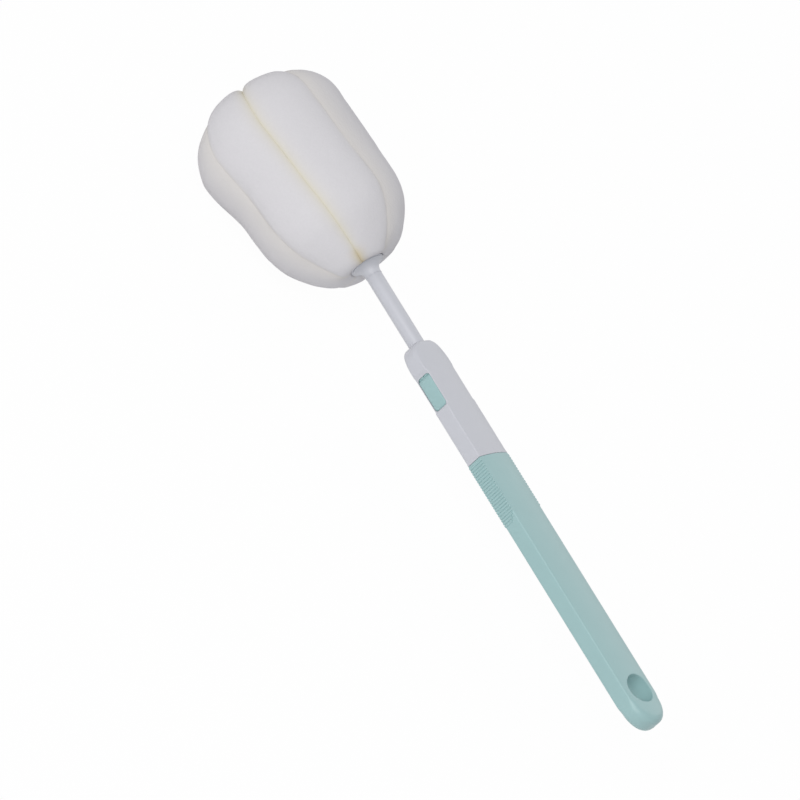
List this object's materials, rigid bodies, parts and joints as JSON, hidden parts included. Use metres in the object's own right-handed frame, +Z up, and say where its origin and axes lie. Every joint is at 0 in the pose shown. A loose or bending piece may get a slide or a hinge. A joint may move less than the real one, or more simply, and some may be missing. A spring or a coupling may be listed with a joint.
{
  "type": "sponge bottle brush",
  "caption": "Hand brush for bottles: slim flat handle with a hanging hole, side release buttons and a lift-off head of lobed foam on a thin rod.",
  "frame": {"origin": "below the middle of the brush's length and width, on the surface that the brush lies on", "axes": "+X along the brush from the handle's free end to the foam, +Y to the left release button, +Z up out of the handle's broad face"},
  "size_m": [0.295, 0.06, 0.0615],
  "materials": {
    "mint_plastic": "satin",
    "white_plastic": "satin",
    "foam": "matte"
  },
  "bodies": {
    "handle": {"handle_shell": "mint_plastic", "plug_front_half": "mint_plastic", "plug_back_half": "mint_plastic", "latch_spring": "mint_plastic"},
    "left_button": {"button_left": "mint_plastic"},
    "right_button": {"button_right": "mint_plastic"},
    "head": {"socket_housing": "white_plastic", "stem_rod": "white_plastic", "base_cup": "white_plastic", "end_clip": "white_plastic", "foam_front": "foam", "foam_middle": "foam", "foam_back": "foam"}
  },
  "joints": [
    {"name": "head_release", "type": "slide", "parent": "handle", "child": "head", "axis": [1, 0, 0], "range_m": [0, 0.045], "deforming": ["latch_spring"]},
    {"name": "press_left", "type": "slide", "parent": "handle", "child": "left_button", "axis": [0, -1, 0], "range_m": [0, 0.0012], "stiffness_N_per_m": 1200, "springref_m": -0.0004, "deforming": ["latch_spring"]},
    {"name": "press_right", "type": "slide", "parent": "handle", "child": "right_button", "axis": [0, 1, 0], "range_m": [0, 0.0012], "stiffness_N_per_m": 1200, "springref_m": -0.0004, "deforming": ["latch_spring"]}
  ]
}
